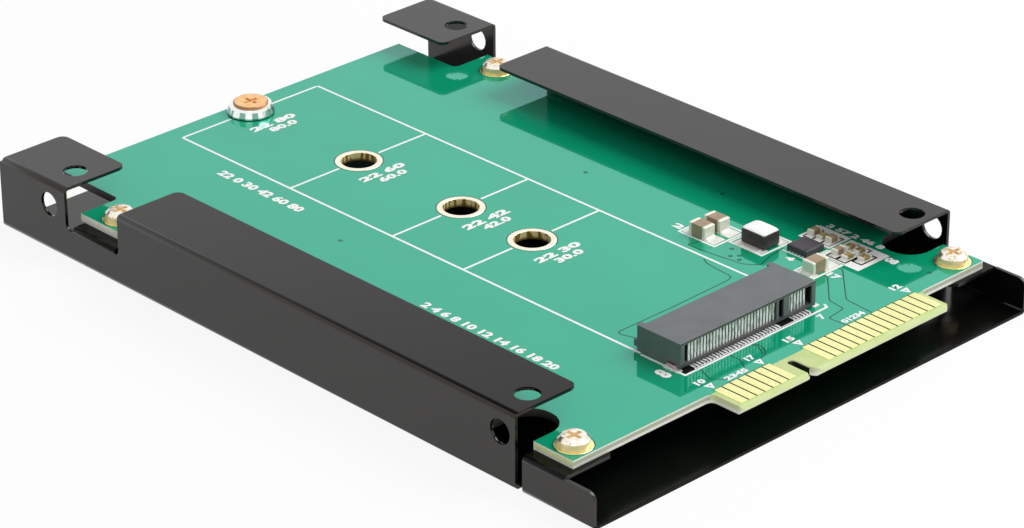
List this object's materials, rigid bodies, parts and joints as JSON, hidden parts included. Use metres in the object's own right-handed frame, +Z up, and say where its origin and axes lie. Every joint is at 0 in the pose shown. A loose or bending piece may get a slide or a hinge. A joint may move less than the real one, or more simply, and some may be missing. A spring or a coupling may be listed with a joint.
{
  "type": "gumstick ssd to sata adapter",
  "caption": "Adapter tray that holds a gumstick solid-state card on a green board in a folded black frame of 2.5 inch drive size, with edge contacts at one end.",
  "frame": {"origin": "middle of the frame's bottom face, under the middle of its outline", "axes": "+Y towards the nut end, -Y towards the edge contacts; +Z up, from the frame's floor to its fixing flanges; +X to the side of the power contacts"},
  "size_m": [0.0698, 0.1, 0.0092],
  "materials": {
    "black_frame": "satin powder coat",
    "green_board": "glossy solder mask on glass fibre",
    "gold_plating": "plated",
    "screw_steel": "plated, slightly warm",
    "nut_steel": "bright turned",
    "copper_screw": "copper-coloured plating",
    "socket_plastic": "matte moulded",
    "tinned_metal": "tinned",
    "tan_ceramic": "fired ceramic",
    "pale_ferrite": "coated ferrite",
    "package_plastic": "moulded"
  },
  "bodies": {
    "root": {"frame": "black_frame", "circuit_board": "green_board", "board_screws": "screw_steel", "signal_pads": "gold_plating", "power_pads": "gold_plating", "standoff_nut": "nut_steel", "card_screw": "copper_screw", "socket_housing": "socket_plastic", "socket_upper_contacts": "tinned_metal", "socket_lower_contacts": "tinned_metal", "socket_solder_nails": "tinned_metal", "card_hole_lining_30": "gold_plating", "card_hole_lining_42": "gold_plating", "card_hole_lining_60": "gold_plating", "card_hole_lining_80": "gold_plating", "capacitor_a_body": "tan_ceramic", "capacitor_a_terminals": "tinned_metal", "capacitor_b_body": "tan_ceramic", "capacitor_b_terminals": "tinned_metal", "capacitor_c_body": "tan_ceramic", "capacitor_c_terminals": "tinned_metal", "inductor_body": "pale_ferrite", "inductor_terminals": "tinned_metal", "regulator_body": "package_plastic", "regulator_terminals": "tinned_metal", "small_capacitor_bodies": "tan_ceramic", "small_capacitor_terminals": "tinned_metal", "resistor_bodies": "package_plastic", "resistor_terminals": "tinned_metal"}
  },
  "joints": []
}
